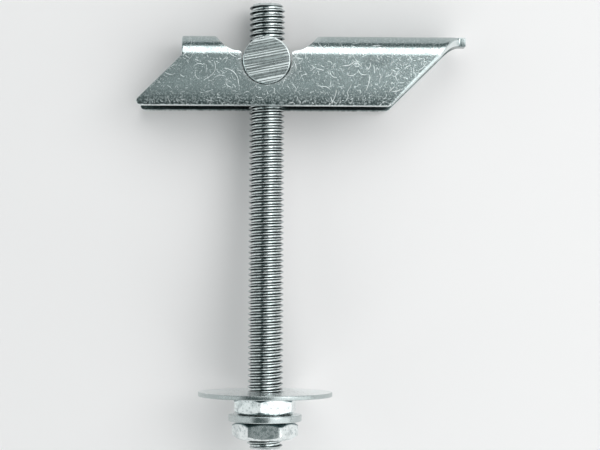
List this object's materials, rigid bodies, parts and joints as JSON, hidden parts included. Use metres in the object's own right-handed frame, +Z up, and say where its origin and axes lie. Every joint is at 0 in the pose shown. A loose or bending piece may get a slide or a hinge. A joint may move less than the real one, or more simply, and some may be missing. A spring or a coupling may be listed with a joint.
{
  "type": "gravity toggle bolt",
  "caption": "Gravity toggle bolt: pressed channel bar on a trunnion nut, threaded rod, large and small washers and thin hexagon nuts.",
  "frame": {"origin": "middle of the floor area that the lying bolt covers, at floor height", "axes": "+Y along the rod towards its tip and the channel (the rod leans 6.5 degrees down that way), +X along the channel towards its long end, +Z up"},
  "size_m": [0.0734, 0.0996, 0.0299],
  "materials": {
    "pressed_zinc": "mottled zinc plate on pressed steel",
    "turned_zinc": "zinc plate over fine saw lines",
    "thread_zinc": "bright zinc plate",
    "washer_zinc": "bright zinc plate, softened punched edge",
    "nut_zinc": "bright zinc plate with fine forging marks"
  },
  "bodies": {
    "rod": {"threaded_rod": "thread_zinc"},
    "trunnion": {"trunnion_nut": "turned_zinc"},
    "bar": {"toggle_channel": "pressed_zinc"},
    "large_washer": {"large_washer": "washer_zinc"},
    "upper_nut": {"upper_nut": "nut_zinc"},
    "small_washer": {"small_washer": "washer_zinc"},
    "lower_nut": {"lower_nut": "nut_zinc"}
  },
  "joints": [
    {"name": "toggle_travel", "type": "slide", "parent": "rod", "child": "trunnion", "axis": [0, 0.9937, -0.1124], "range_m": [-0.02, 0.0075]},
    {"name": "bar_pivot", "type": "hinge", "parent": "trunnion", "child": "bar", "pos_m": [-0.00784, 0.03632, 0.0066], "axis": [0, 0.1124, 0.9937], "range_deg": [-44, 44]},
    {"name": "washer_travel", "type": "slide", "parent": "rod", "child": "large_washer", "axis": [0, 0.9937, -0.1124], "range_m": [0, 0.024]},
    {"name": "upper_nut_spin", "type": "hinge", "parent": "large_washer", "child": "upper_nut", "pos_m": [-0.00784, -0.0399, 0.01522], "axis": [0, 0.9937, -0.1124], "range_deg": [0, 6913]},
    {"name": "lower_travel", "type": "slide", "parent": "rod", "child": "small_washer", "axis": [0, 0.9937, -0.1124], "range_m": [-0.002, 0]},
    {"name": "lower_nut_spin", "type": "hinge", "parent": "small_washer", "child": "lower_nut", "pos_m": [-0.00784, -0.04536, 0.01584], "axis": [0, 0.9937, -0.1124], "range_deg": [-577, 0]}
  ],
  "couplings": [
    {"joint": "upper_nut_spin", "follows": "washer_travel", "rad_per_m": 5026.5},
    {"joint": "lower_nut_spin", "follows": "lower_travel", "rad_per_m": 5026.5}
  ]
}
